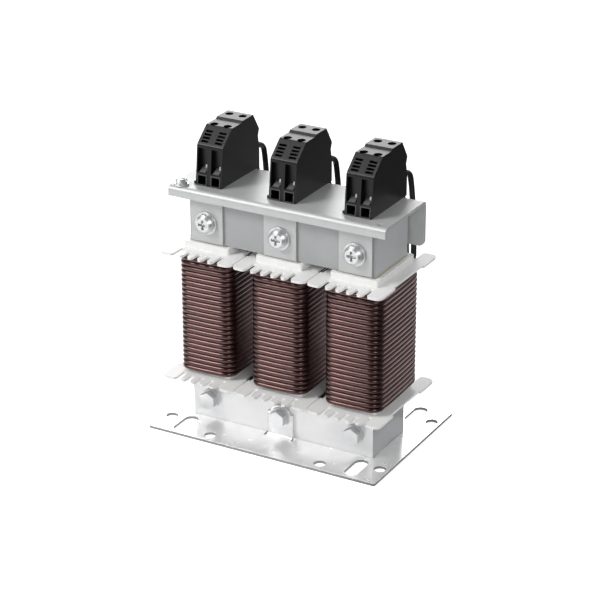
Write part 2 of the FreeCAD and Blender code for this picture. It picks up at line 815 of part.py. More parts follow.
def make_terminal_bracket():
    body = new_body("terminal_bracket")
    profile = new_sketch(body, "fold_section", "YZ_Plane")
    inner = S["bracket_bend"]
    outer = inner + S["bracket_sheet"]
    sheet_front = -S["bracket_front"]
    top = BRACKET_TOP
    lip_bottom = top - S["bracket_lip"]
    flange_bottom = UPPER_BOLT_Z - S["bracket_flange_edge"]
    thick = S["bracket_sheet"]
    outline(
        profile,
        [
            (sheet_front, lip_bottom),
            (sheet_front + thick, lip_bottom),
            (sheet_front + thick, top - outer),
            (sheet_front + outer, top - thick, sheet_front + outer, top - outer, -1),
            (BRACKET_BACK - outer, top - thick),
            (BRACKET_BACK - thick, top - outer, BRACKET_BACK - outer, top - outer, -1),
            (BRACKET_BACK - thick, flange_bottom),
            (BRACKET_BACK, flange_bottom),
            (BRACKET_BACK, top - outer),
            (BRACKET_BACK - outer, top, BRACKET_BACK - outer, top - outer, 1),
            (sheet_front + outer, top),
            (sheet_front, top - outer, sheet_front + outer, top - outer, 1),
        ],
    )
    pad(body, profile, "fold", S["bracket_width"], both_ways=True)

    holes = new_sketch(body, "top_holes_outline", "XY_Plane", top + thick)
    hole_y = sheet_front + S["bracket_hole_front_set"]
    hole_x = S["bracket_width"] / 2 - S["bracket_hole_end_set"]
    round_hole(holes, -hole_x, hole_y, S["earth_bore"])
    round_hole(holes, hole_x, hole_y, S["small_hole_bore"])
    half_x = S["foot_width"] / 2 + S["foot_clearance"]
    half_y = S["foot_length"] / 2 + S["foot_clearance"]
    for side in SIDES.values():
        x = leg_x(side)
        for y in block_feet():
            rectangle(holes, x - half_x, y - half_y, x + half_x, y + half_y)
    pocket(body, holes, "top_holes", thick * 3)

    bolt_holes = new_sketch(body, "bolt_holes_outline", "XZ_Plane")
    for side in SIDES.values():
        round_hole(bolt_holes, leg_x(side), UPPER_BOLT_Z, S["bolt_hole_bore"])
    pocket(body, bolt_holes, "bolt_holes", BRACKET_BACK * 2, both_ways=True)
    doc.recompute()

    corners = body.newObject("PartDesign::Fillet", "flange_corners")
    half = number(S["bracket_width"] / 2)
    low = number(flange_bottom)
    names = []
    for index, edge in enumerate(body.Shape.Edges, start=1):
        middle = edge.CenterOfMass
        along_y = abs(edge.tangentAt(edge.FirstParameter).y) > 0.99
        if along_y and abs(abs(middle.x) - half) < 0.01 and abs(middle.z - low) < 0.01:
            names.append(f"Edge{index}")
    corners.Base = (body.Group[-2], names)
    bind(corners, "Radius", S["bracket_corner"])
    body.Tip = corners
    return body


# yoke straps: a U of sheet steel over the top yoke at each leg, clamped by the bolt


def make_yoke_strap(label, side):
    body = new_body(label)
    thick = S["strap_sheet"]
    foot = TOP_YOKE_BOTTOM + S["strap_foot_gap"]
    section = new_sketch(body, "strap_section", "YZ_Plane")
    outline(
        section,
        [
            (STRAP_FRONT, foot),
            (CORE_FRONT, foot),
            (CORE_FRONT, CORE_TOP),
            (CORE_BACK, CORE_TOP),
            (CORE_BACK, foot),
            (STRAP_BACK, foot),
            (STRAP_BACK, CORE_TOP),
            (CORE_BACK, CORE_TOP + thick, CORE_BACK, CORE_TOP, 1),
            (CORE_FRONT, CORE_TOP + thick),
            (STRAP_FRONT, CORE_TOP, CORE_FRONT, CORE_TOP, 1),
        ],
    )
    pad(body, section, "strap", S["strap_width"], both_ways=True)
    holes = new_sketch(body, "strap_hole_outline", "XZ_Plane")
    round_hole(holes, ZERO, UPPER_BOLT_Z, S["bolt_hole_bore"])
    pocket(body, holes, "strap_holes", S["plate_depth"], both_ways=True)
    place(body, leg_x(side))
    return body


# clamp bolts through the two yokes


def make_upper_bolts():
    bolts = []
    front_washers = []
    rear_washers = []
    nuts = []
    head_back = STRAP_FRONT - S["washer_sheet"]
    nut_front = BRACKET_BACK + S["washer_sheet"]
    shank = nut_front + S["nut_height"] + S["bolt_spare"] - head_back
    head = S["pan_head_height"]
    crown = head * 0.45
    for name, side in SIDES.items():
        x = leg_x(side)
        front = head_back - head
        pieces = [
            rod(f"upper_shank_{name}", S["bolt_bore"], shank, x, head_back, UPPER_BOLT_Z),
            rod(f"upper_head_{name}", S["pan_head_width"], head - crown, x, front + crown, UPPER_BOLT_Z),
            cone(
                f"upper_crown_{name}",
                S["pan_head_width"] * 0.72,
                S["pan_head_width"],
                crown,
                x,
                front,
                UPPER_BOLT_Z,
            ),
        ]
        bolt = fuse(f"upper_bolt_blank_{name}", pieces)
        wide = S["recess_span"] / 2
        slim = S["recess_width"] / 2
        upright = block(
            f"upper_recess_a_{name}",
            (x - slim, front - head, UPPER_BOLT_Z - wide),
            (x + slim, front + S["recess_depth"], UPPER_BOLT_Z + wide),
        )
        level = block(
            f"upper_recess_b_{name}",
            (x - wide, front - head, UPPER_BOLT_Z - slim),
            (x + wide, front + S["recess_depth"], UPPER_BOLT_Z + slim),
        )
        recess = fuse(f"upper_recess_{name}", [upright, level])
        bolts.append(cut(f"upper_bolt_{name}", bolt, recess))
        hole = S["bolt_hole_bore"]
        thick = S["washer_sheet"]
        front_washers.append(
            washer(f"upper_front_washer_{name}", S["washer_width"], hole, thick, x, head_back, UPPER_BOLT_Z)
        )
        wide = S["rear_washer_width"]
        rear_washers.append(
            washer(f"upper_rear_washer_{name}", wide, hole, thick, x, BRACKET_BACK, UPPER_BOLT_Z)
        )
        flats = S["hex_width"]
        bore = S["bolt_bore"]
        nuts.append(nut(f"upper_nut_{name}", flats, bore, S["nut_height"], x, nut_front, UPPER_BOLT_Z))
    group("upper_bolts", bolts)
    group("upper_front_washers", front_washers)
    group("upper_rear_washers", rear_washers)
    group("upper_nuts", nuts)


def make_lower_bolts():
    bolts = []
    front_washers = []
    rear_washers = []
    nuts = []
    for name, side in SIDES.items():
        x = leg_x(side)
        tab = S["plate_sheet"] if side == 0 else ZERO
        front_face = CORE_FRONT - tab
        back_face = CORE_BACK + tab
        head_back = front_face - S["washer_sheet"]
        nut_front = back_face + S["washer_sheet"]
        shank = nut_front + S["nut_height"] + S["bolt_spare"] - head_back
        head = hexagon(
            f"lower_head_{name}",
            S["hex_width"],
            S["hex_head_height"],
            x,
            head_back - S["hex_head_height"],
            LOWER_BOLT_Z,
        )
        body = rod(f"lower_shank_{name}", S["bolt_bore"], shank, x, head_back, LOWER_BOLT_Z)
        bolts.append(fuse(f"lower_bolt_{name}", [head, body]))
        hole = S["bolt_hole_bore"]
        thick = S["washer_sheet"]
        wide = S["rear_washer_width"]
        front_washers.append(
            washer(f"lower_front_washer_{name}", wide, hole, thick, x, head_back, LOWER_BOLT_Z)
        )
        rear_washers.append(
            washer(f"lower_rear_washer_{name}", wide, hole, thick, x, back_face, LOWER_BOLT_Z)
        )
        flats = S["hex_width"]
        bore = S["bolt_bore"]
        nuts.append(nut(f"lower_nut_{name}", flats, bore, S["nut_height"], x, nut_front, LOWER_BOLT_Z))
    group("lower_bolts", bolts)
    group("lower_front_washers", front_washers)
    group("lower_rear_washers", rear_washers)
    group("lower_nuts", nuts)


# earth screw, in a tapped hole at the left end of the bracket


def make_earth_screw():
    x = S["bracket_hole_end_set"] - S["bracket_width"] / 2
    y = S["bracket_hole_front_set"] - S["bracket_front"]
    top = BRACKET_TOP
    thick = S["washer_sheet"]
    tip = BRACKET_UNDERSIDE - S["earth_reach"]
    seat = top + thick
    head = S["earth_head_height"]
    shank = rod("earth_shank", S["earth_bore"], seat - tip, x, y, tip, ALONG_Z)
    drum = rod("earth_drum", S["earth_head_width"], head * 0.55, x, y, seat, ALONG_Z)
    crown = cone(
        "earth_crown",
        S["earth_head_width"],
        S["earth_head_width"] * 0.72,
        head * 0.45,
        x,
        y,
        seat + head * 0.55,
        ALONG_Z,
    )
    blank = fuse("earth_blank", [shank, drum, crown])
    wide = S["earth_head_width"] / 2 + thick
    slim = S["recess_width"] / 2
    slot = block(
        "earth_slot",
        (x - wide, y - slim, seat + head * 0.5),
        (x + wide, y + slim, seat + head + thick),
    )
    group("earth_screw", [cut("earth_screw_cut", blank, slot)])
    hole = S["earth_hole_bore"]
    ring = washer("earth_washer_cut", S["earth_washer_width"], hole, thick, x, y, top, ALONG_Z)
    group("earth_washer", [ring])


# terminal blocks: a moulded two-pole housing, with the wire entries in front and the leads behind


def housing_profile():
    """The side outline of a terminal housing, from its front foot round over the top."""
    front = -S["block_front"]
    back = S["block_back"]
    base = BLOCK_BASE
    top = base + S["block_height"]
    front_top = top - S["block_step"]
    return [
        (front, base),
        (back, base),
        (back, base + S["lead_hole_height"]),
        (back - S["waist_set"], base + S["waist_height"]),
        (back, base + S["rear_bump_height"]),
        (back - S["rear_top_set"], top),
        (back - S["step_head_set"], top),
        (back - S["step_foot_set"], front_top),
        (front + S["front_top_set"], front_top),
        (front + S["slope_head_set"], base + S["slope_head_height"]),
        (front + S["slope_foot_set"], base + S["slope_foot_height"]),
        (front + S["front_lean"], base + S["front_height"]),
    ]


def pole_offsets():
    return (-S["pole_pitch"] / 2, S["pole_pitch"] / 2)


def make_terminal_housing(label, side):
    body = new_body(label)
    profile = new_sketch(body, "side_outline", "YZ_Plane")
    outline(profile, housing_profile())
    pad(body, profile, "moulding", S["block_width"], both_ways=True)

    feet = new_sketch(body, "feet_outline", "XY_Plane", BLOCK_BASE)
    hooks = new_sketch(body, "hooks_outline", "XY_Plane", BRACKET_UNDERSIDE - S["foot_clearance"])
    half_x = S["foot_width"] / 2
    half_y = S["foot_length"] / 2
    for y in block_feet():
        rectangle(feet, -half_x, y - half_y, half_x, y + half_y)
        rectangle(hooks, -half_x - S["foot_hook"], y - half_y, half_x + S["foot_hook"], y + half_y)
    pad(body, feet, "feet", S["foot_drop"], backwards=True)
    hook_height = S["foot_drop"] - S["bracket_sheet"] - S["foot_clearance"]
    pad(body, hooks, "hooks", hook_height, backwards=True)

    lug = new_sketch(body, "lug_outline", "XY_Plane", BLOCK_BASE)
    half = S["block_width"] / 2
    lug_y = -S["block_front"] + S["lug_length"] / 2
    rectangle(lug, -half - S["lug_width"], lug_y, -half, lug_y + S["lug_length"])
    pad(body, lug, "release_lug", S["lug_height"])

    # from the front: wire entries, and above them tall channels whose floor rises to the back
    front = new_sketch(body, "entry_outline", "XZ_Plane", S["block_front"])
    entry_half = S["entry_width"] / 2
    for x in pole_offsets():
        rectangle(front, x - entry_half, ENTRY_FLOOR, x + entry_half, ENTRY_CEILING)
    pocket(body, front, "wire_entries", S["entry_depth"])
    channel_floor = BLOCK_BASE + S["channel_sill"]
    channel_top = channel_floor + S["channel_height"]
    channel_front = -S["block_front"]
    channel_back = channel_front + S["channel_depth"]
    for name, x in zip(("near", "far"), pole_offsets()):
        channel = new_sketch(body, name + "_channel_outline", "YZ_Plane", x)
        path = [
            (channel_front, channel_floor),
            (channel_back, channel_floor + S["channel_rise"]),
            (channel_back, channel_top),
            (channel_front, channel_top),
        ]
        outline(channel, path)
        pocket(body, channel, name + "_channel", S["channel_width"], both_ways=True)

    # from the back: the holes for the leads
    rear = new_sketch(body, "lead_hole_outline", "XZ_Plane", -S["block_back"])
    for x in pole_offsets():
        round_hole(rear, x, LEAD_HOLE_Z, S["lead_bore"] + S["lead_hole_clearance"] * 2)
    pocket(body, rear, "lead_holes", S["block_back"] - S["rear_screw_set"], backwards=True)

    # from above: the screw holes over the clamps
    over = new_sketch(body, "front_screw_outline", "XY_Plane", BLOCK_BASE + S["block_height"])
    above = new_sketch(body, "rear_screw_outline", "XY_Plane", BLOCK_BASE + S["block_height"])
    for x in pole_offsets():
        round_hole(over, x, -S["front_screw_set"], S["screw_hole_bore"])
        round_hole(above, x, S["rear_screw_set"], S["screw_hole_bore"])
    block_top = BLOCK_BASE + S["block_height"]
    pocket(body, over, "front_screw_holes", block_top - FRONT_CAGE_TOP)
    pocket(body, above, "rear_screw_holes", block_top - REAR_CAGE_TOP)

    # inside: a chamber for each clamp cage and a slot for the bar that joins them
    gap = S["cage_clearance"]
    half_x = S["cage_width"] / 2 + gap
    half_y = S["cage_length"] / 2 + gap
    chambers = new_sketch(body, "front_chamber_outline", "XY_Plane", FRONT_CAGE_TOP)
    back_chambers = new_sketch(body, "rear_chamber_outline", "XY_Plane", REAR_CAGE_TOP + gap)
    bars = new_sketch(body, "bar_outline", "XY_Plane", BAR_TOP)
    bar_half = S["bar_width"] / 2 + gap
    for x in pole_offsets():
        y = -S["front_screw_set"]
        rectangle(chambers, x - half_x, y - half_y, x + half_x, y + half_y)
        y = S["rear_screw_set"]
        rectangle(back_chambers, x - half_x, y - half_y, x + half_x, y + half_y)
        bar_front = -S["front_screw_set"] - half_y
        rectangle(bars, x - bar_half, bar_front, x + bar_half, S["rear_screw_set"] + half_y)
    cage_bottom = ENTRY_FLOOR - S["cage_wall"]
    pocket(body, chambers, "front_chambers", FRONT_CAGE_TOP - cage_bottom + gap)
    pocket(body, back_chambers, "rear_chambers", REAR_CAGE_TOP + gap - BAR_TOP)
    pocket(body, bars, "bar_slots", S["bar_sheet"])

    # marker slots across the slope above the channels
    slope_top = housing_profile()[9]
    slope_foot = housing_profile()[10]
    run_y = slope_foot[0] - slope_top[0]
    run_z = slope_foot[1] - slope_top[1]
    for name, x in zip(("near", "far"), pole_offsets()):
        markers = new_sketch(body, name + "_marker_outline", "YZ_Plane", x)
        for row in range(MARKER_ROWS):
            begin = S["marker_start"] + S["marker_step"] * row
            finish = begin + S["marker_share"]
            upper_y = slope_top[0] + run_y * begin
            upper_z = slope_top[1] + run_z * begin
            lower_y = slope_top[0] + run_y * finish
            lower_z = slope_top[1] + run_z * finish
            deep = S["marker_depth"]
            outline(
                markers,
                [
                    (upper_y - deep, upper_z + deep),
                    (lower_y - deep, lower_z + deep),
                    (lower_y + deep, lower_z - deep),
                    (upper_y + deep, upper_z - deep),
                ],
            )
        pocket(body, markers, name + "_markers", S["marker_width"], both_ways=True)
    place(body, leg_x(side))
    return body


def make_terminal_metal():
    cages = []
    bars = []
    screws = []
    for name, side in SIDES.items():
        for pole, offset in zip(("a", "b"), pole_offsets()):
            x = leg_x(side) + offset
            half_x = S["cage_width"] / 2
            half_y = S["cage_length"] / 2
            key = f"{name}_{pole}"

            y = -S["front_screw_set"]
            low = (x - half_x, y - half_y, ENTRY_FLOOR - S["cage_wall"])
            high = (x + half_x, y + half_y, FRONT_CAGE_TOP)
            shell = block(f"front_cage_blank_{key}", low, high)
            inner = S["entry_width"] / 2
            window = block(
                f"front_cage_window_{key}",
                (x - inner, y - half_y, ENTRY_FLOOR),
                (x + inner, y + half_y, ENTRY_CEILING),
            )
            thread = rod(
                f"front_cage_thread_{key}",
                S["clamp_screw_bore"],
                S["cage_head"],
                x,
                y,
                ENTRY_CEILING,
                ALONG_Z,
            )
            cages.append(cut(f"front_cage_{key}", shell, fuse(f"front_cage_tool_{key}", [window, thread])))

            y = S["rear_screw_set"]
            low = (x - half_x, y - half_y, BAR_TOP)
            high = (x + half_x, y + half_y, REAR_CAGE_TOP)
            shell = block(f"rear_cage_blank_{key}", low, high)
            thread_foot = LEAD_HOLE_Z
            thread = rod(
                f"rear_cage_thread_{key}",
                S["clamp_screw_bore"],
                REAR_CAGE_TOP - thread_foot,
                x,
                y,
                thread_foot,
                ALONG_Z,
            )
            cages.append(cut(f"rear_cage_{key}", shell, thread))

            bar_half = S["bar_width"] / 2
            bar = block(
                f"bar_blank_{key}",
                (x - bar_half, -S["front_screw_set"] - half_y, FRONT_CAGE_TOP),
                (x + bar_half, S["rear_screw_set"] + half_y, BAR_TOP),
            )
            hole = rod(
                f"bar_hole_{key}",
                S["clamp_screw_bore"],
                S["bar_sheet"],
                x,
                -S["front_screw_set"],
                FRONT_CAGE_TOP,
                ALONG_Z,
            )
            bars.append(cut(f"bar_{key}", bar, hole))

            head = S["clamp_screw_head"] * 0.5
            slot_depth = head * 0.55
            slot_half = S["clamp_screw_slot"] / 2
            reach = S["clamp_screw_head"]
            for end, y, foot, seat in (
                ("front", -S["front_screw_set"], ENTRY_CEILING, BAR_TOP),
                ("rear", S["rear_screw_set"], LEAD_HOLE_Z, REAR_CAGE_TOP),
            ):
                shank = rod(f"{end}_shank_{key}", S["clamp_screw_bore"], seat - foot, x, y, foot, ALONG_Z)
                drum = rod(f"{end}_drum_{key}", S["clamp_screw_head"], head, x, y, seat, ALONG_Z)
                slot = block(
                    f"{end}_slot_{key}",
                    (x - reach, y - slot_half, seat + head - slot_depth),
                    (x + reach, y + slot_half, seat + head * 2),
                )
                blank = fuse(f"{end}_screw_blank_{key}", [shank, drum])
                screws.append(cut(f"{end}_screw_{key}", blank, slot))
    group("clamp_cages", cages)
    group("current_bars", bars)
    group("clamp_screws", screws)


def make_all():
    make_base_plate()
    make_core_legs()
    make_top_yoke()
    for name, side in SIDES.items():
        make_gap_spacer(f"gap_spacer_{name}", side)
        make_bobbin(f"bobbin_{name}", side)
        make_winding(f"winding_{name}", side)
        make_yoke_strap(f"yoke_strap_{name}", side)
        make_terminal_housing(f"terminal_housing_{name}", side)
        make_lead(f"lead_{name}_first", side, True)
        make_lead(f"lead_{name}_second", side, False)
    make_terminal_bracket()
    make_upper_bolts()
    make_lower_bolts()
    make_earth_screw()
    make_terminal_metal()
    doc.recompute()


def check_document():
    """Stops where a feature failed, a cut took nothing away, or a shape isn't a valid solid."""
    for item in doc.Objects:
        if "Invalid" in item.State or "Error" in item.State:
            raise RuntimeError(f"{item.Label}: {item.State}")
        if item.TypeId == "PartDesign::Pocket":
            before = item.BaseFeature.Shape.Volume
            if item.Shape.Volume > before - 0.001:
                raise RuntimeError(f"{item.getParent().Label} {item.Label} cuts nothing")


def sub_parts():
    """The pieces that stand for themselves: bodies, groups and leads, but no helper solids."""
    kinds = ("PartDesign::Body", "Part::Compound", "Part::Feature")
    return [item for item in doc.Objects if item.TypeId in kinds]


def export():
    os.makedirs("parts", exist_ok=True)
    for item in sub_parts():
        shape = item.Shape
        if shape.isNull() or not shape.isValid() or not shape.Solids:
            raise RuntimeError(f"{item.Label} has no valid shape")
        shape.exportStep(f"parts/{item.Label}.step")
        print(item.Label, len(shape.Solids), "solids", round(shape.Volume, 1), "mm3")


make_all()
check_document()
export()
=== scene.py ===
from math import pi, radians, sin

import bmesh
import bpy
from mathutils import Matrix, Vector


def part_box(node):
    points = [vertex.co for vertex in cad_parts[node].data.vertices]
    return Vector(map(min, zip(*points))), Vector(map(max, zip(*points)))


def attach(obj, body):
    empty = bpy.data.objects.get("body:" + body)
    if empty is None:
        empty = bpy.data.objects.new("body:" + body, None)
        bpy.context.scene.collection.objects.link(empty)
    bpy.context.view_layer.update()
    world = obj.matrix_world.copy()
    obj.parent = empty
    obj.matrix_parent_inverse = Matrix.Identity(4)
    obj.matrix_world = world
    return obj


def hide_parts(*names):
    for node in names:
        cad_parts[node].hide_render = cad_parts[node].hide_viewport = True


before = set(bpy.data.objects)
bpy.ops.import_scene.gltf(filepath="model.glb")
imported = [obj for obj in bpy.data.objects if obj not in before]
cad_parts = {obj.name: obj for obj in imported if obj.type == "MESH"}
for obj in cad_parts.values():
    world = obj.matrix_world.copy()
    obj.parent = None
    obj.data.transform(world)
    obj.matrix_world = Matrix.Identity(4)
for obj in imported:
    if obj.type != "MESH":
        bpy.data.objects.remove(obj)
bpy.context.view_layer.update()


# The camera stands in front of the right-hand end, a little above the reactor, and looks down on it.
# Its lens is long, so the uprights stay nearly parallel.

camera = bpy.data.objects.new("camera", bpy.data.cameras.new("camera"))
bpy.context.scene.collection.objects.link(camera)
camera.data.sensor_width = 36
camera.data.lens = 131.26
camera.data.clip_start = 0.05
camera.location = (0.47075, -0.84668, 0.49217)
camera.rotation_euler = (radians(90 - 23.76), 0, radians(29.12))
bpy.context.scene.camera = camera


# Base plate: 1.5 mm steel sheet, punched, zinc-plated, with two tabs bent up to hold the core.
# The plating is thinner on the sheared edges, which look greyer, and every edge is slightly rounded.

MM = 0.001
LEG_PITCH = 40 * MM
ROW = {"left": -LEG_PITCH, "middle": 0.0, "right": LEG_PITCH}
SHEET_EDGE = 0.18 * MM
PLATE_SHEET = 1.5 * MM
SHEARED = "#8E8F90"
PLATING_PATCH = 5 * MM
PLATING_GRAIN = 0.6 * MM
GRAIN_DEPTH = 0.02 * MM
GLOSS_SPREAD = 0.14
TURNED_AWAY = 0.5
SAME_POINT = 0.002 * MM
SAME_FACE = radians(1)
SHARP = radians(32)


def linear(hex_colour):
    """The linear colour, with alpha, of an sRGB colour written as #RRGGBB."""
    shown = [int(hex_colour[start : start + 2], 16) / 255 for start in (1, 3, 5)]
    return tuple(s / 12.92 if s <= 0.04045 else ((s + 0.055) / 1.055) ** 2.4 for s in shown) + (1.0,)


def add_node(tree, kind, inputs=None, **settings):
    """A node with its settings made, and each input set to a value, a socket or a node's first output."""
    made = tree.nodes.new(kind)
    for name, value in settings.items():
        setattr(made, name, value)
    for name, value in (inputs or {}).items():
        if isinstance(value, bpy.types.Node):
            value = value.outputs[0]
        if isinstance(value, bpy.types.NodeSocket):
            tree.links.new(value, made.inputs[name])
        else:
            made.inputs[name].default_value = value
    return made


def empty_material(name):
    material = bpy.data.materials.new(name)
    material.use_nodes = True
    material.node_tree.nodes.clear()
    return material, material.node_tree


def turned_from(tree, axis):
    """1 on faces whose normal lies well away from the axis, and 0 on the others."""
    facing = add_node(tree, "ShaderNodeNewGeometry").outputs["Normal"]
    along = add_node(tree, "ShaderNodeSeparateXYZ", {"Vector": facing}).outputs[axis]
    share = add_node(tree, "ShaderNodeMath", {0: along}, operation="ABSOLUTE")
    return add_node(tree, "ShaderNodeMath", {0: share, 1: TURNED_AWAY}, operation="LESS_THAN")


def layered_colour(tree, ground, layers):
    """The ground colour with each further colour laid over it by its share of 0 to 1."""
    tone = linear(ground)
    for share, colour in layers:
        # A Mix node's colours are its sockets 6 and 7, and their blend is its output 2.
        shades = {"Factor": share, 6: tone, 7: linear(colour)}
        tone = add_node(tree, "ShaderNodeMix", shades, data_type="RGBA").outputs[2]
    return tone


def zinc_plated_sheet(name, dark, pale, metal, smoothest, sheared_below=0.0):
    """Sheet whose plating is thin and grey on the sheared edges that lie below the given height."""
    material, tree = empty_material(name)
    place = add_node(tree, "ShaderNodeTexCoord").outputs["Object"]
    patches = {"Vector": place, "Scale": 1 / PLATING_PATCH, "Detail": 4.0}
    mottle = add_node(tree, "ShaderNodeTexNoise", patches)
    height = add_node(tree, "ShaderNodeSeparateXYZ", {"Vector": place}).outputs["Z"]
    low = add_node(tree, "ShaderNodeMath", {0: height, 1: sheared_below}, operation="LESS_THAN")
    upright = turned_from(tree, "Z")
    sheared = add_node(tree, "ShaderNodeMath", {0: upright, 1: low}, operation="MULTIPLY")
    roughest = smoothest + GLOSS_SPREAD
    gloss = add_node(tree, "ShaderNodeMapRange", {"Value": mottle, "To Min": smoothest, "To Max": roughest})
    fine = {"Vector": place, "Scale": 1 / PLATING_GRAIN, "Detail": 2.0}
    grain = add_node(tree, "ShaderNodeTexNoise", fine)
    relief = add_node(tree, "ShaderNodeBump", {"Height": grain, "Strength": 0.12, "Distance": GRAIN_DEPTH})
    shader = add_node(
        tree,
        "ShaderNodeBsdfPrincipled",
        {
            "Base Color": layered_colour(tree, dark, [(mottle, pale), (sheared, SHEARED)]),
            "Metallic": metal,
            "Roughness": gloss,
            "Normal": relief,
        },
    )
    add_node(tree, "ShaderNodeOutputMaterial", {"Surface": shader})
    return material


def make_plain(piece):
    """Makes the piece a plain mesh, with its modifiers made permanent."""
    settled = piece.evaluated_get(bpy.context.evaluated_depsgraph_get())
    mesh = bpy.data.meshes.new_from_object(settled)
    piece.modifiers.clear()
    piece.data = mesh


def with_soft_edges(node, edge, material, segments=2, reshape=None):
    """Puts a copy whose sharp edges have a small radius in place of a CAD node."""
    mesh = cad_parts[node].data.copy()
    mesh.name = node + "_soft"
    build = bmesh.new()
    build.from_mesh(mesh)
    bmesh.ops.remove_doubles(build, verts=build.verts, dist=SAME_POINT)
    bmesh.ops.dissolve_limit(build, angle_limit=SAME_FACE, verts=build.verts, edges=build.edges)
    if reshape:
        reshape(build)
    build.to_mesh(mesh)
    build.free()
    mesh.materials.clear()
    mesh.materials.append(material)
    piece = bpy.data.objects.new(node + "_soft", mesh)
    bpy.context.scene.collection.objects.link(piece)
    rounding = piece.modifiers.new("edge_radius", "BEVEL")
    rounding.width = edge
    rounding.segments = segments
    rounding.limit_method = "ANGLE"
    rounding.angle_limit = SHARP
    rounding.use_clamp_overlap = True
    mesh.polygons.foreach_set("use_smooth", [True] * len(mesh.polygons))
    shading = piece.modifiers.new("flat_faces_stay_flat", "WEIGHTED_NORMAL")
    shading.keep_sharp = True
    make_plain(piece)
    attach(piece, "root")
    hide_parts(node)


# Satin plating painted paler than the bracket's, as painted light on the base plate. It mirrors the room
# softly and blurs it a little more where it is mottled.
light_painted_zinc = zinc_plated_sheet(
    "zinc_plated_sheet_painted_light",
    "#E4E4E4",
    "#FCFCFC",
    metal=0.55,
    smoothest=0.18,
    sheared_below=PLATE_SHEET - SHEET_EDGE,
)
with_soft_edges("base_plate", SHEET_EDGE, light_painted_zinc)


# Core: stacked electrical-steel laminations, three legs and a yoke below, a straight yoke above.
# The broad faces are smooth rolled sheet, and the cut edges show as fine lines that run across the stack.
# The lower core is painted paler than the upper yoke, as painted light reflected from the base plate and
# floor.

CORE_EDGE = 0.3 * MM
LAMINATION = 0.5 * MM
WAVE_REPEAT = 0.314  # a wave texture of scale 1 repeats every 0.314 m
CLOUD = 14 * MM
CLEAN_SHARE = 0.75
LINE_DEPTH = 0.05 * MM


def electrical_steel(name, face, edge, line, metal, roughness):
    """Rolled sheet on the broad faces, and the stack's cut edges with a line at each lamination."""
    material, tree = empty_material(name)
    place = add_node(tree, "ShaderNodeTexCoord").outputs["Object"]
    lines = add_node(
        tree,
        "ShaderNodeTexWave",
        {
            "Vector": place,
            "Scale": WAVE_REPEAT / LAMINATION,
            "Distortion": 0.4,
            "Detail": 1.0,
            "Detail Scale": 40.0,
        },
        wave_type="BANDS",
        bands_direction="Y",
    )
    cut = turned_from(tree, "Y")
    amount = add_node(tree, "ShaderNodeMath", {0: lines.outputs["Fac"], 1: cut}, operation="MULTIPLY")
    cloud = add_node(tree, "ShaderNodeTexNoise", {"Vector": place, "Scale": 1 / CLOUD, "Detail": 3.0})
    layers = [(cloud, face), (CLEAN_SHARE, face), (cut, edge), (amount, line)]
    relief = add_node(tree, "ShaderNodeBump", {"Height": amount, "Strength": 0.25, "Distance": LINE_DEPTH})
    shader = add_node(
        tree,
        "ShaderNodeBsdfPrincipled",
        {
            "Base Color": layered_colour(tree, edge, layers),
            "Metallic": metal,
            "Roughness": roughness,
            "Normal": relief,
        },
    )
    add_node(tree, "ShaderNodeOutputMaterial", {"Surface": shader})
    return material


# Painted reflected light: the lower core's faces are paler than the upper yoke's, for the bright base plate
# and floor it mirrors.
reflection_painted_steel = electrical_steel(
    "electrical_steel_painted_reflection", "#EDEDEE", "#A6A7A8", "#88898C", metal=0.45, roughness=0.32
)
with_soft_edges("core_legs", CORE_EDGE, reflection_painted_steel)
# Painted light: the upper yoke's cut-edge colour is paler than its faces, to lift its less lit right end.
core_steel = electrical_steel(
    "electrical_steel", "#A0A1A2", "#DADBDC", "#BBBCBF", metal=0.3, roughness=0.45
)
with_soft_edges("top_yoke", CORE_EDGE, core_steel)


# Gap spacers: cut from glass-fibre laminate board, one on each leg, hidden inside the bobbin's collar.
# The board is a matt straw colour.


def clouded(name, dark, pale, patch, finish, detail=2.0):
    """A material whose colour drifts between two close shades, in patches of the given size."""
    material, tree = empty_material(name)
    place = add_node(tree, "ShaderNodeTexCoord").outputs["Object"]
    cloud = add_node(tree, "ShaderNodeTexNoise", {"Vector": place, "Scale": 1 / patch, "Detail": detail})
    tone = layered_colour(tree, dark, [(cloud, pale)])
    shader = add_node(tree, "ShaderNodeBsdfPrincipled", {"Base Color": tone, **finish})
    add_node(tree, "ShaderNodeOutputMaterial", {"Surface": shader})
    return material


def paint_nodes(names, material):
    """Gives CAD nodes that are shown as they are their material."""
    for name in names:
        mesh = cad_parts[name].data
        mesh.materials.clear()
        mesh.materials.append(material)


glass_laminate = clouded(
    "glass_laminate_board", "#CFC49A", "#DDD4B0", patch=0.8 * MM, finish={"Roughness": 0.6}
)
paint_nodes([f"gap_spacer_{side}" for side in ROW], glass_laminate)


# Bobbins: moulded in white glass-filled nylon, a rectangular tube with a comb-edged flange at each end.
# The moulding is satin, with rounded finger tips and a small radius on every edge.

BOBBIN_EDGE = 0.3 * MM

white_nylon = clouded(
    "white_moulded_nylon", "#EBEBEA", "#F3F3F2", patch=6 * MM, finish={"Roughness": 0.45, "IOR": 1.53}
)
for side in ROW:
    with_soft_edges(f"bobbin_{side}", BOBBIN_EDGE, white_nylon)


# Windings: round copper wire, 2.5 mm thick, wound in one layer, with both ends brought out at the back.
# Each is one stiff wire that climbs by its own thickness per turn and bows a little between the corners.
# Its clear brown enamel gives dark red-brown metal a soft grey sheen.

WIRE = 2.5 * MM
WIRE_CORNER = 4 * MM
TURNS_PER_COIL = 24
COIL_CLIMB = 60.6 * MM
POINTS_PER_TURN = 96
WIRE_SIDES = 12
BOW = 0.5 * MM
FIRST_END = 5.3 * MM
SECOND_END = 8.6 * MM
END_OVERLAP = 1 * MM
END_BEND = 1.5 * MM
END_TURN_UP = 1.6 * MM
FIRST_TIP = 2.5 * MM


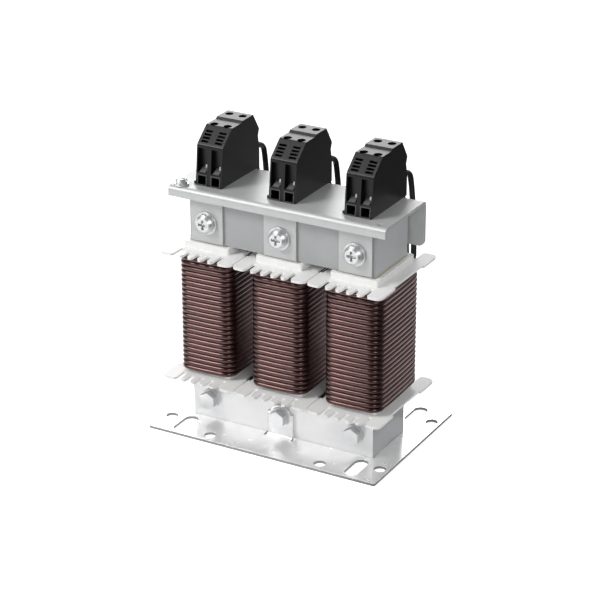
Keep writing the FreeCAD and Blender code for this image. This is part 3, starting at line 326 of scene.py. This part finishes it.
def winding_tree():
    """Geometry nodes: one wire that follows a rounded rectangle and climbs evenly, turn after turn."""
    tree = bpy.data.node_groups.new("wire_winding", "GeometryNodeTree")
    for name, kind in (
        ("Half Width", "NodeSocketFloat"),
        ("Half Depth", "NodeSocketFloat"),
        ("Corner", "NodeSocketFloat"),
        ("Bow", "NodeSocketFloat"),
        ("Wire Radius", "NodeSocketFloat"),
        ("Climb", "NodeSocketFloat"),
        ("Turns", "NodeSocketInt"),
        ("Points Per Turn", "NodeSocketInt"),
        ("Centre", "NodeSocketVector"),
        ("Finish", "NodeSocketMaterial"),
    ):
        tree.interface.new_socket(name, in_out="INPUT", socket_type=kind)
    tree.interface.new_socket("Geometry", in_out="OUTPUT", socket_type="NodeSocketGeometry")
    given = add_node(tree, "NodeGroupInput").outputs
    steps = add_node(
        tree, "ShaderNodeMath", {0: given["Turns"], 1: given["Points Per Turn"]}, operation="MULTIPLY"
    )
    count = add_node(tree, "ShaderNodeMath", {0: steps, 1: 1.0}, operation="ADD")
    line = add_node(tree, "GeometryNodeCurvePrimitiveLine")
    beads = add_node(tree, "GeometryNodeResampleCurve", {"Curve": line, "Count": count})
    index = add_node(tree, "GeometryNodeInputIndex")
    lap = add_node(tree, "ShaderNodeMath", {0: index, 1: given["Points Per Turn"]}, operation="DIVIDE")
    angle = add_node(tree, "ShaderNodeMath", {0: lap, 1: 2 * pi}, operation="MULTIPLY")
    corner = given["Corner"]
    coordinates = {}
    for axis, trig, half, sense in (("X", "SINE", "Half Width", -1.0), ("Y", "COSINE", "Half Depth", 1.0)):
        swing = add_node(tree, "ShaderNodeMath", {0: angle}, operation=trig)
        turned = add_node(tree, "ShaderNodeMath", {0: swing, 1: sense}, operation="MULTIPLY")
        end = add_node(tree, "ShaderNodeMath", {0: turned}, operation="SIGN")
        flat = add_node(tree, "ShaderNodeMath", {0: given[half], 1: corner}, operation="SUBTRACT")
        base = add_node(tree, "ShaderNodeMath", {0: end, 1: flat}, operation="MULTIPLY")
        bend = add_node(tree, "ShaderNodeMath", {0: turned, 1: corner}, operation="MULTIPLY")
        coordinates[axis] = add_node(tree, "ShaderNodeMath", {0: base, 1: bend}, operation="ADD")
    loop = add_node(tree, "ShaderNodeCombineXYZ", coordinates)
    level = add_node(tree, "GeometryNodeSetPosition", {"Geometry": beads, "Position": loop})
    even = add_node(tree, "GeometryNodeResampleCurve", {"Curve": level, "Count": count})
    here = add_node(tree, "GeometryNodeInputPosition")
    place = add_node(tree, "ShaderNodeSeparateXYZ", {"Vector": here}).outputs
    drawn_in = {}
    for axis, other, half, other_half in (
        ("X", "Y", given["Half Width"], given["Half Depth"]),
        ("Y", "X", given["Half Depth"], given["Half Width"]),
    ):
        off_middle = add_node(tree, "ShaderNodeMath", {0: place[other], 1: other_half}, operation="DIVIDE")
        growth = add_node(tree, "ShaderNodeMath", {0: off_middle, 1: 2.0}, operation="POWER")
        most = add_node(tree, "ShaderNodeMath", {0: given["Bow"], 1: half}, operation="DIVIDE")
        inward = add_node(tree, "ShaderNodeMath", {0: growth, 1: most}, operation="MULTIPLY")
        pull = add_node(tree, "ShaderNodeMath", {0: inward, 1: place[axis]}, operation="MULTIPLY")
        drawn_in[axis] = add_node(tree, "ShaderNodeMath", {0: pull, 1: -1.0}, operation="MULTIPLY")
    along = add_node(tree, "GeometryNodeSplineParameter")
    drawn_in["Z"] = add_node(tree, "ShaderNodeMath", {0: along, 1: given["Climb"]}, operation="MULTIPLY")
    shift = add_node(tree, "ShaderNodeCombineXYZ", drawn_in)
    lift = add_node(tree, "ShaderNodeVectorMath", {0: shift, 1: given["Centre"]}, operation="ADD")
    climbing = add_node(tree, "GeometryNodeSetPosition", {"Geometry": even, "Offset": lift})
    section = add_node(
        tree, "GeometryNodeCurvePrimitiveCircle", {"Resolution": WIRE_SIDES, "Radius": given["Wire Radius"]}
    )
    wire = add_node(
        tree, "GeometryNodeCurveToMesh", {"Curve": climbing, "Profile Curve": section, "Fill Caps": True}
    )
    real = add_node(tree, "GeometryNodeRealizeInstances", {"Geometry": wire})
    coated = add_node(tree, "GeometryNodeSetMaterial", {"Geometry": real, "Material": given["Finish"]})
    add_node(tree, "NodeGroupOutput", {"Geometry": coated})
    return tree


def grown_piece(name, tree, sizes):
    """A plain mesh from a geometry-node tree with its named inputs set."""
    piece = bpy.data.objects.new(name, bpy.data.meshes.new(name))
    bpy.context.scene.collection.objects.link(piece)
    modifier = piece.modifiers.new("growth", "NODES")
    modifier.node_group = tree
    for socket in tree.interface.items_tree:
        if socket.in_out == "INPUT":
            modifier[socket.identifier] = sizes[socket.name]
    make_plain(piece)
    piece.data.polygons.foreach_set("use_smooth", [True] * len(piece.data.polygons))
    return piece


def wire_along(name, points, radius, material):
    """A round wire along a smooth line through given control points, as a closed mesh."""
    curve = bpy.data.curves.new(name, "CURVE")
    curve.dimensions = "3D"
    curve.bevel_depth = radius
    curve.bevel_resolution = 4
    curve.use_fill_caps = True
    spline = curve.splines.new("NURBS")
    spline.points.add(len(points) - 1)
    for point, place in zip(spline.points, points):
        point.co = (*place, 1)
    spline.order_u = 3
    spline.use_endpoint_u = True
    spline.resolution_u = 8
    piece = bpy.data.objects.new(name, curve)
    bpy.context.scene.collection.objects.link(piece)
    settled = piece.evaluated_get(bpy.context.evaluated_depsgraph_get())
    mesh = bpy.data.meshes.new_from_object(settled)
    mesh.materials.clear()
    mesh.materials.append(material)
    bpy.data.objects.remove(piece)
    piece = bpy.data.objects.new(name, mesh)
    bpy.context.scene.collection.objects.link(piece)
    return piece


enamelled_copper = clouded(
    "enamelled_copper_wire",
    "#40201D",
    "#552C28",
    patch=5 * MM,
    finish={"Metallic": 0.85, "Roughness": 0.25, "Coat Weight": 1.0, "Coat Roughness": 0.28},
    detail=3.0,
)
winding_nodes = winding_tree()
for side, x in ROW.items():
    low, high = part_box(f"winding_{side}")
    spacer_low, spacer_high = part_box(f"gap_spacer_{side}")
    centre_y = (spacer_low[1] + spacer_high[1]) / 2
    half_width = (high[0] - low[0]) / 2 - WIRE / 2
    half_depth = centre_y - low[1] - WIRE / 2
    bottom = low[2] + WIRE / 2
    top = bottom + COIL_CLIMB
    coil = grown_piece(
        f"coil_{side}",
        winding_nodes,
        {
            "Half Width": half_width,
            "Half Depth": half_depth,
            "Corner": WIRE_CORNER,
            "Bow": BOW,
            "Wire Radius": WIRE / 2,
            "Climb": COIL_CLIMB,
            "Turns": TURNS_PER_COIL,
            "Points Per Turn": POINTS_PER_TURN,
            "Centre": (x, centre_y, bottom),
            "Finish": enamelled_copper,
        },
    )
    rear = centre_y + half_depth
    out = high[1] - WIRE / 2
    # The first end starts inside the lowest turn, at the middle of the back, and bends back and up.
    first = wire_along(
        f"coil_{side}_first_end",
        [
            (x - END_OVERLAP, rear, bottom),
            (x + 3 * MM, rear, bottom),
            (x + FIRST_END, rear, bottom),
            (x + FIRST_END, rear + 2 * MM, bottom),
            (x + FIRST_END, out, bottom),
            (x + FIRST_END, out, bottom + END_TURN_UP),
            (x + FIRST_END, out, bottom + FIRST_TIP),
        ],
        WIRE / 2,
        enamelled_copper,
    )
    # The second end starts inside the highest turn, near its corner, and bends back and up.
    second = wire_along(
        f"coil_{side}_second_end",
        [
            (x + half_width - WIRE_CORNER * 0.9, rear, top),
            (x + SECOND_END + END_BEND, rear, top),
            (x + SECOND_END, rear + END_BEND, top),
            (x + SECOND_END, out, top),
            (x + SECOND_END, out, top + END_TURN_UP),
            (x + SECOND_END, out, high[2]),
        ],
        WIRE / 2,
        enamelled_copper,
    )
    for piece in (coil, first, second):
        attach(piece, "root")
        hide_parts(f"winding_{side}")


# Leads: the windings' ends in black silicone sleeving with a dull sheen, bent by hand from the coil up
# behind the bracket, across to the pole and forward into the terminal block.

LEAD = 2.8 * MM
LEAD_BACK = 22.6 * MM
LEAD_CREST = 25.8 * MM
LEAD_HOLE = 133.5 * MM
LEAD_TIP = 10.3 * MM
LEAD_STRAIGHT_BELOW = 30 * MM
LEAD_BEND_BELOW = 9.5 * MM
LEAD_LEAN = 0.35
POLE_PITCH = 7.4 * MM


def lead_route(x, run, start, pole):
    """The route's corners, from the coil's end to the tip in the clamp."""
    return [
        (x + run, LEAD_BACK, start),
        (x + run, LEAD_BACK, LEAD_HOLE - LEAD_STRAIGHT_BELOW),
        (x + pole + (run - pole) * LEAD_LEAN, LEAD_CREST, LEAD_HOLE - LEAD_BEND_BELOW),
        (x + pole, LEAD_CREST, LEAD_HOLE),
        (x + pole, LEAD_TIP, LEAD_HOLE),
    ]


sleeving = clouded(
    "black_silicone_sleeving", "#161617", "#1F1F21", patch=1.5 * MM, finish={"Roughness": 0.4, "IOR": 1.45}
)
for side, x in ROW.items():
    for which, run, end in (("first", FIRST_END, -1), ("second", SECOND_END, 1)):
        node = f"lead_{side}_{which}"
        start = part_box(node)[0][2]
        route = lead_route(x, run, start, end * POLE_PITCH / 2)
        lead = wire_along(f"sleeve_{side}_{which}", route, LEAD / 2, sleeving)
        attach(lead, "root")
        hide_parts(node)


# Terminal bracket and yoke straps: folded from zinc-plated sheet that is duller than the base plate's, and
# greyer only because the base plate's copy is painted paler as painted light. The straps sit tight over the
# top yoke, and the bracket is bolted behind it.

zinc_sheet = zinc_plated_sheet("zinc_plated_sheet", "#BBBCBC", "#CACBCB", metal=0.3, smoothest=0.38)
with_soft_edges("terminal_bracket", SHEET_EDGE, zinc_sheet)
for side in ROW:
    with_soft_edges(f"yoke_strap_{side}", SHEET_EDGE, zinc_sheet)


# Fasteners: steel bolts, washers, nuts and screws, zinc-plated to a bright, slightly clouded silver.
# Heads are cold-formed, so their edges are round, and nuts and washers have a small chamfer.

PAN_HEAD_EDGE = 0.45 * MM
HEX_HEAD_EDGE = 0.3 * MM
WASHER_EDGE = 0.15 * MM
NUT_EDGE = 0.25 * MM
SCREW_EDGE = 0.25 * MM

bright_zinc = clouded(
    "bright_zinc_plating", "#CDCECF", "#DEDFE0", patch=2 * MM, finish={"Metallic": 0.7, "Roughness": 0.34}
)
with_soft_edges("upper_bolts", PAN_HEAD_EDGE, bright_zinc, segments=3)
with_soft_edges("lower_bolts", HEX_HEAD_EDGE, bright_zinc)
for node in ("upper_front_washers", "upper_rear_washers", "lower_front_washers", "lower_rear_washers"):
    with_soft_edges(node, WASHER_EDGE, bright_zinc)
for node in ("upper_nuts", "lower_nuts"):
    with_soft_edges(node, NUT_EDGE, bright_zinc)
with_soft_edges("earth_screw", SCREW_EDGE, bright_zinc)
with_soft_edges("earth_washer", WASHER_EDGE, bright_zinc)


# Terminal blocks: two-pole housings moulded in near-black glass-filled nylon.
# The faces have a fine spark-eroded texture, which keeps the gloss low.

HOUSING_EDGE = 0.22 * MM
SPARK_GRAIN = 0.35 * MM
SPARK_DEPTH = 0.03 * MM
SLOT_FLOOR = 4.58 * MM * MM
SLOT_SLACK = 0.02
SLOT_FACING = -0.4
SLOT_SINK = 1.4 * MM


def moulded_nylon(name, colour):
    """Nylon of one colour whose fine spark-eroded grain spreads the highlights."""
    material, tree = empty_material(name)
    place = add_node(tree, "ShaderNodeTexCoord").outputs["Object"]
    grain = add_node(tree, "ShaderNodeTexNoise", {"Vector": place, "Scale": 1 / SPARK_GRAIN, "Detail": 2.0})
    relief = add_node(tree, "ShaderNodeBump", {"Height": grain, "Strength": 0.2, "Distance": SPARK_DEPTH})
    shader = add_node(
        tree,
        "ShaderNodeBsdfPrincipled",
        {
            "Base Color": linear(colour),
            "Roughness": 0.38,
            "Specular IOR Level": 0.38,
            "Normal": relief,
        },
    )
    add_node(tree, "ShaderNodeOutputMaterial", {"Surface": shader})
    return material


def deepen_marker_slots(build):
    """Sinks the floor of each small slot in the sloping face, so that the slots read as dark."""
    floors = [
        face
        for face in build.faces
        if face.normal.y < SLOT_FACING and abs(face.calc_area() - SLOT_FLOOR) < SLOT_SLACK * SLOT_FLOOR
    ]
    for face in floors:
        inward = face.normal.copy() * -SLOT_SINK
        for vert in face.verts:
            vert.co += inward


black_nylon = moulded_nylon("black_moulded_nylon", "#08080A")
for side in ROW:
    node = f"terminal_housing_{side}"
    with_soft_edges(node, HOUSING_EDGE, black_nylon, reshape=deepen_marker_slots)


# Clamps: plated steel cages, clamp screws and the pale tinned copper bars that join a pole's two clamps.
# A dull plated tongue and a bright hook show at the foot of each channel in a block's front, above a grey
# wire funnel.

CHANNEL_SILL = 5.9 * MM
CHANNEL_FRONT_SET = 0.6 * MM
TONGUE = (3.4 * MM, 4.2 * MM, 0.5 * MM)
TONGUE_BACK = 2.1 * MM
TONGUE_RISE = 1.6 * MM
TONGUE_LEAN = 29.7
HOOK = (0.9 * MM, 1.2 * MM, 1.6 * MM)
HOOK_SIDE = 2.1 * MM
HOOK_BACK = 1.2 * MM
HOOK_RISE = 3.8 * MM
HOOK_LEAN = -12
BLOCK_EDGE = 0.12 * MM
ENTRY_WIDTH = 4.3 * MM
ENTRY_MIDDLE = 2.85 * MM
FUNNEL_WIDTH = 5.5 * MM
FUNNEL_SHEET = 0.4 * MM
FUNNEL_FRONT_SET = 0.2 * MM
FRONT_LEAN = 5.4


def add_block(build, size, place, lean, finish):
    """A small plate with rounded edges, leaned about X, whose faces take the given material slot."""
    verts = bmesh.ops.create_cube(build, size=1.0)["verts"]
    turn = Matrix.Rotation(radians(lean), 4, "X")
    shape = Matrix.Translation(place) @ turn @ Matrix.Diagonal((*size, 1))
    bmesh.ops.transform(build, matrix=shape, verts=verts)
    edges = list({edge for vert in verts for edge in vert.link_edges})
    rounded = bmesh.ops.bevel(build, geom=edges, offset=BLOCK_EDGE, segments=2, affect="EDGES")
    for face in {face for vert in rounded["verts"] for face in vert.link_faces}:
        face.material_index = finish


def finish_piece(name, build, materials):
    """Makes what was built a piece of its own, with no CAD node in its place."""
    mesh = bpy.data.meshes.new(name)
    build.to_mesh(mesh)
    build.free()
    for material in materials:
        mesh.materials.append(material)
    piece = bpy.data.objects.new(name, mesh)
    bpy.context.scene.collection.objects.link(piece)
    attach(piece, "root")


def clamp_springs(side, x):
    """In each of a block's two front channels, a plated tongue on the floor and its hook at the wall."""
    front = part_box(f"terminal_housing_{side}")[0][1] + CHANNEL_FRONT_SET
    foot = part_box("terminal_bracket")[1][2] + CHANNEL_SILL
    build = bmesh.new()
    for pole in (x - POLE_PITCH / 2, x + POLE_PITCH / 2):
        tongue = (pole, front + TONGUE_BACK, foot + TONGUE_RISE)
        add_block(build, TONGUE, tongue, TONGUE_LEAN, 0)
        hook = (pole + HOOK_SIDE, front + HOOK_BACK, foot + HOOK_RISE)
        add_block(build, HOOK, hook, HOOK_LEAN, 1)
    finish_piece(f"clamp_springs_{side}", build, (dull_steel, bright_zinc))


def wire_funnels(side, x):
    """A thin grey frame round each of a block's two front wire entries, clipped on the leaning front."""
    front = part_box(f"terminal_housing_{side}")[0][1] + FUNNEL_FRONT_SET
    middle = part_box("terminal_bracket")[1][2] + ENTRY_MIDDLE
    bar = (FUNNEL_WIDTH - ENTRY_WIDTH) / 2
    reach = (FUNNEL_WIDTH - bar) / 2
    build = bmesh.new()
    for pole in (x - POLE_PITCH / 2, x + POLE_PITCH / 2):
        for end in (-1, 1):
            upright = (pole + end * reach, front, middle)
            add_block(build, (bar, FUNNEL_SHEET, FUNNEL_WIDTH), upright, -FRONT_LEAN, 0)
            crossbar = (pole, front + end * reach * sin(radians(FRONT_LEAN)), middle + end * reach)
            add_block(build, (FUNNEL_WIDTH, FUNNEL_SHEET, bar), crossbar, -FRONT_LEAN, 0)
    finish_piece(f"wire_funnels_{side}", build, (grey_nylon,))


tinned_copper = clouded(
    "tinned_copper_bar", "#C9C4B8", "#D6D2C8", patch=1.2 * MM, finish={"Metallic": 1.0, "Roughness": 0.35}
)
paint_nodes(["current_bars"], tinned_copper)
paint_nodes(["clamp_cages", "clamp_screws"], bright_zinc)
dull_steel = zinc_plated_sheet("spring_steel_plated", "#6A6A6C", "#7C7C7E", metal=0.6, smoothest=0.34)
grey_nylon = moulded_nylon("grey_moulded_nylon", "#4A4A4D")
for side, x in ROW.items():
    clamp_springs(side, x)
    wire_funnels(side, x)


# Studio: a white floor in white surroundings, with two soft lamps on the left, one beside the camera and
# two behind. Reflections darken to the right and the front, where the room has no white wall.

FLOOR_WIDTH = 6.0
PAPER = "#D9D9D9"
UNLIT = "#202020"
FLOOR_GLOW = 0.75
MIRRORED_GLOW = 0.65
FILL = 0.34
DIM_SIDE = 0.07
FLOOR_FADE = (0.02, 0.1)
FADE_TO_RIGHT = (-0.15, 0.4)
FADE_TO_FRONT = (0.6, 0.0)
CORE_MIDDLE = (0, 0, 0.08)
COIL_TOP = (0, 0, 0.12)


def dimming(tree, vector, axis, fade):
    """A share of white that falls from 1 to DIM_SIDE as the vector passes along the fade."""
    across = add_node(tree, "ShaderNodeSeparateXYZ", {"Vector": vector}).outputs[axis]
    return add_node(
        tree,
        "ShaderNodeMapRange",
        {"Value": across, "From Min": fade[0], "From Max": fade[1], "To Min": 1.0, "To Max": DIM_SIDE},
    )


def white_floor():
    material, tree = empty_material("white_studio_floor")
    rays = add_node(tree, "ShaderNodeLightPath").outputs
    place = add_node(tree, "ShaderNodeTexCoord").outputs["Object"]
    white = dimming(tree, place, "X", FLOOR_FADE)
    glossy = rays["Is Glossy Ray"]
    mirrored = add_node(tree, "ShaderNodeMath", {0: glossy, 1: white}, operation="MULTIPLY")
    dark = add_node(tree, "ShaderNodeMath", {0: glossy, 1: mirrored}, operation="SUBTRACT")
    seen = add_node(tree, "ShaderNodeMath", {0: rays["Is Camera Ray"], 1: FLOOR_GLOW}, operation="MULTIPLY")
    shine = add_node(tree, "ShaderNodeMath", {0: mirrored, 1: MIRRORED_GLOW}, operation="MULTIPLY")
    glow = add_node(tree, "ShaderNodeMath", {0: seen, 1: shine}, operation="ADD")
    paper = add_node(tree, "ShaderNodeBsdfDiffuse", {"Color": layered_colour(tree, PAPER, [(dark, UNLIT)])})
    light = add_node(tree, "ShaderNodeEmission", {"Color": (1, 1, 1, 1), "Strength": glow})
    both = add_node(tree, "ShaderNodeAddShader", {0: paper, 1: light})
    add_node(tree, "ShaderNodeOutputMaterial", {"Surface": both})
    return material


bpy.ops.mesh.primitive_plane_add(size=FLOOR_WIDTH, location=(0, 0, 0))
floor = bpy.context.object
floor.name = "studio_floor"
floor.data.materials.append(white_floor())

world = bpy.data.worlds.new("studio")
world.use_nodes = True
bpy.context.scene.world = world
room = world.node_tree
room.nodes.clear()
rays = add_node(room, "ShaderNodeLightPath").outputs
toward = add_node(room, "ShaderNodeTexCoord").outputs["Generated"]
left = dimming(room, toward, "X", FADE_TO_RIGHT)
back = dimming(room, toward, "Y", FADE_TO_FRONT)
white = add_node(room, "ShaderNodeMath", {0: left, 1: back}, operation="MULTIPLY")
extra = add_node(room, "ShaderNodeMath", {0: white, 1: FILL}, operation="SUBTRACT")
mirrored = add_node(room, "ShaderNodeMath", {0: rays["Is Glossy Ray"], 1: extra}, operation="MULTIPLY")
unseen = add_node(room, "ShaderNodeMath", {0: mirrored, 1: FILL}, operation="ADD")
strength = add_node(room, "ShaderNodeMath", {0: rays["Is Camera Ray"], 1: unseen}, operation="MAXIMUM")
sky = add_node(room, "ShaderNodeBackground", {"Color": (1, 1, 1, 1), "Strength": strength})
add_node(room, "ShaderNodeOutputWorld", {"Surface": sky})


def soft_lamp(name, place, aim, width, power):
    lamp = bpy.data.objects.new(name, bpy.data.lights.new(name, "AREA"))
    bpy.context.scene.collection.objects.link(lamp)
    lamp.data.shape = "SQUARE"
    lamp.data.size = width
    lamp.data.energy = power
    lamp.location = place
    lamp.rotation_euler = (Vector(aim) - Vector(place)).to_track_quat("-Z", "Y").to_euler()


soft_lamp("key", (-0.9, -1.0, 1.15), CORE_MIDDLE, width=0.5, power=15)
soft_lamp("overhead", (-0.6, -0.36, 1.3), CORE_MIDDLE, width=0.4, power=2.5)
soft_lamp("beside_camera", (1.0, -1.0, 0.65), CORE_MIDDLE, width=0.5, power=5.5)
soft_lamp("back_left", (-0.75, 1.3, 0.75), COIL_TOP, width=0.7, power=6)
soft_lamp("back_right", (0.65, 1.15, 0.68), CORE_MIDDLE, width=0.5, power=2.5)
bpy.context.scene.view_settings.view_transform = "Standard"
